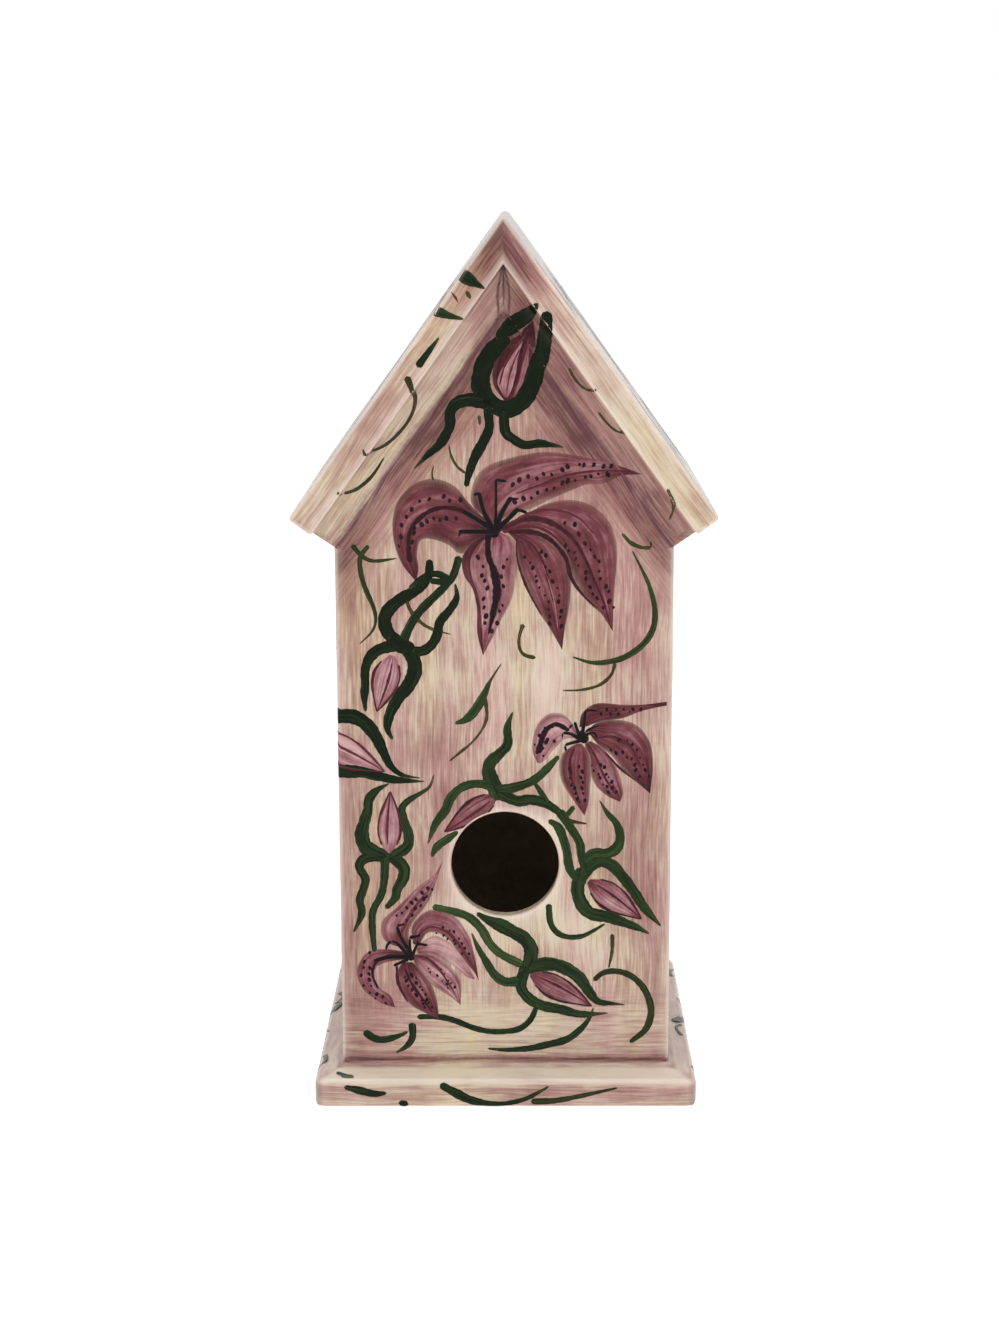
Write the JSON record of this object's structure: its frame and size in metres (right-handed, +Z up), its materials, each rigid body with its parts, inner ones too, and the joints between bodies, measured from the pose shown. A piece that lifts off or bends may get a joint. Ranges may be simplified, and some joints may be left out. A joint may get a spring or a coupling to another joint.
{
  "type": "ceramic birdhouse",
  "caption": "Tall square ceramic birdhouse with a steep gabled roof, cove mouldings, round entry hole, moulded base and a rubber clean-out stopper.",
  "frame": {"origin": "on the resting plane, under the middle of the house", "axes": "+Z up, entry hole facing -Y, +X to the right when looking at the entry hole from in front"},
  "size_m": [0.145, 0.145, 0.312],
  "materials": {
    "wall_glaze": "glossy clear glaze over brushed mauve and cream underglaze with painted lilies",
    "roof_glaze": "glossy clear glaze over mauve brushed along the rake, wiped to cream on the arrises",
    "moulding_glaze": "glossy clear glaze, mauve pooled in the hollow",
    "base_glaze": "glossy clear glaze over mauve brushed along the edge, bare clay underneath",
    "stopper_rubber": "matt moulded rubber"
  },
  "bodies": {
    "house": {"base_plinth": "base_glaze", "front_wall": "wall_glaze", "back_wall": "wall_glaze", "left_wall": "wall_glaze", "right_wall": "wall_glaze", "left_roof_slab": "roof_glaze", "right_roof_slab": "roof_glaze", "front_left_cove": "moulding_glaze", "front_right_cove": "moulding_glaze", "back_left_cove": "moulding_glaze", "back_right_cove": "moulding_glaze", "left_eave_cove": "moulding_glaze", "right_eave_cove": "moulding_glaze"},
    "stopper": {"cleanout_stopper": "stopper_rubber"}
  },
  "joints": [
    {"name": "stopper_pull", "type": "slide", "parent": "house", "child": "stopper", "axis": [0, 0, -1], "range_m": [0, 0.012]}
  ]
}
